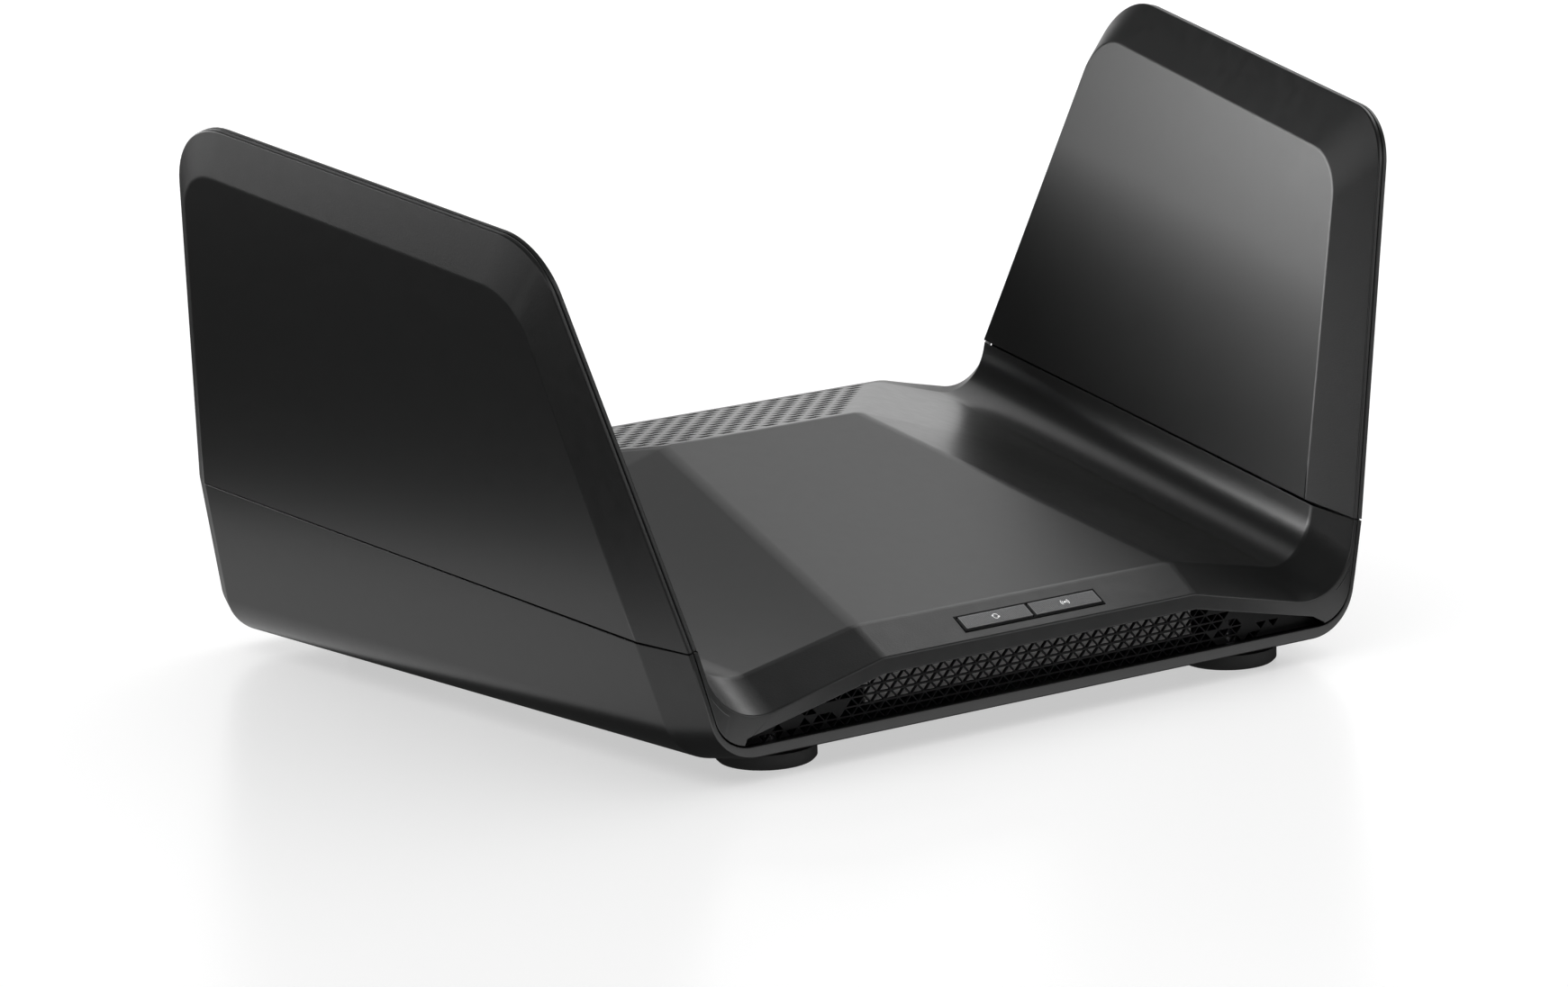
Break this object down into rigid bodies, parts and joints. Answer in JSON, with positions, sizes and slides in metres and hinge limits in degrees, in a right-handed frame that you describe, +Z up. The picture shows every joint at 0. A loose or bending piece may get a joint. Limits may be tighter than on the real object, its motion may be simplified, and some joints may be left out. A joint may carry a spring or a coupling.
{
  "type": "wireless router",
  "caption": "Wedge-shaped wireless router with fold-down antenna wings on both sides, a triangle-pattern front grille, front push buttons and rear sockets.",
  "frame": {"origin": "bottom centre of the whole router, on the surface that its feet stand on", "axes": "+X to the right seen from the front grille, +Y to the socket side, +Z up"},
  "size_m": [0.3062, 0.2091, 0.1545],
  "materials": {
    "case_plastic": "fine satin texture, charcoal",
    "cover_plastic": "fine satin texture, charcoal",
    "wing_plastic": "fine satin texture, charcoal",
    "grille_plastic": "smooth black",
    "backplate_plastic": "smooth grey",
    "panel_plastic": "fine texture, black",
    "black_plastic": "fine texture, black",
    "button_plastic": "fine texture, dark grey with small white icons",
    "bezel_plastic": "gloss black",
    "circuit_board": "green solder mask",
    "socket_steel": "nickel-plated",
    "hinge_steel": "dark plated",
    "screw_steel": "zinc-plated",
    "sink_aluminium": "bead-blasted",
    "thermal_pad": "matte",
    "foot_rubber": "matte black",
    "blank_label": "blank, matte",
    "coax_jacket": "thin flexible jacket"
  },
  "bodies": {
    "base": {"bottom_case": "case_plastic", "top_cover": "cover_plastic", "front_grille": "grille_plastic", "grille_backplate": "backplate_plastic", "rear_panel": "panel_plastic", "main_board": "circuit_board", "network_jacks": "socket_steel", "usb_sockets": "socket_steel", "dc_jack": "black_plastic", "power_switch": "black_plastic", "reset_switch": "black_plastic", "button_bezel": "bezel_plastic", "button_board": "circuit_board", "button_switches": "socket_steel", "heat_sink_cpu": "sink_aluminium", "heat_sink_radio": "sink_aluminium", "shield_cans": "socket_steel", "thermal_pads": "thermal_pad", "rubber_feet": "foot_rubber", "case_screws": "screw_steel", "board_screws": "screw_steel", "label_plate": "blank_label", "hinge_base_left": "hinge_steel", "hinge_base_right": "hinge_steel", "hinge_pins_left": "hinge_steel", "hinge_pins_right": "hinge_steel", "base_leads_left": "coax_jacket", "base_leads_right": "coax_jacket", "base_leaf_screws_left": "screw_steel", "base_leaf_screws_right": "screw_steel"},
    "wing_left": {"wing_outer_left": "wing_plastic", "wing_inner_left": "wing_plastic", "hinge_leaf_left": "hinge_steel", "antenna_front_left": "circuit_board", "antenna_rear_left": "circuit_board", "wing_leads_left": "coax_jacket", "leaf_screws_left": "screw_steel"},
    "wing_right": {"wing_outer_right": "wing_plastic", "wing_inner_right": "wing_plastic", "hinge_leaf_right": "hinge_steel", "antenna_front_right": "circuit_board", "antenna_rear_right": "circuit_board", "wing_leads_right": "coax_jacket", "leaf_screws_right": "screw_steel"},
    "wifi_button": {"wifi_button": "button_plastic"},
    "wps_button": {"wps_button": "button_plastic"},
    "power_button": {"power_button": "black_plastic"},
    "reset_button": {"reset_button": "black_plastic"}
  },
  "joints": [
    {"name": "wing_left_fold", "type": "hinge", "parent": "base", "child": "wing_left", "pos_m": [-0.11518, -0.00221, 0.04653], "axis": [-0.1324, 0.9884, 0.0744], "range_deg": [0, 90]},
    {"name": "wing_right_fold", "type": "hinge", "parent": "base", "child": "wing_right", "pos_m": [0.11518, -0.00221, 0.04653], "axis": [-0.1324, -0.9884, -0.0744], "range_deg": [0, 90]},
    {"name": "wifi_press", "type": "slide", "parent": "base", "child": "wifi_button", "axis": [0, 0.4603, -0.8878], "range_m": [0, 0.0007], "stiffness_N_per_m": 900},
    {"name": "wps_press", "type": "slide", "parent": "base", "child": "wps_button", "axis": [0, 0.4603, -0.8878], "range_m": [0, 0.0007], "stiffness_N_per_m": 900},
    {"name": "power_press", "type": "slide", "parent": "base", "child": "power_button", "axis": [0, -1, 0], "range_m": [0, 0.002], "stiffness_N_per_m": 500},
    {"name": "reset_press", "type": "slide", "parent": "base", "child": "reset_button", "axis": [0, -1, 0], "range_m": [0, 0.0008], "stiffness_N_per_m": 700}
  ]
}
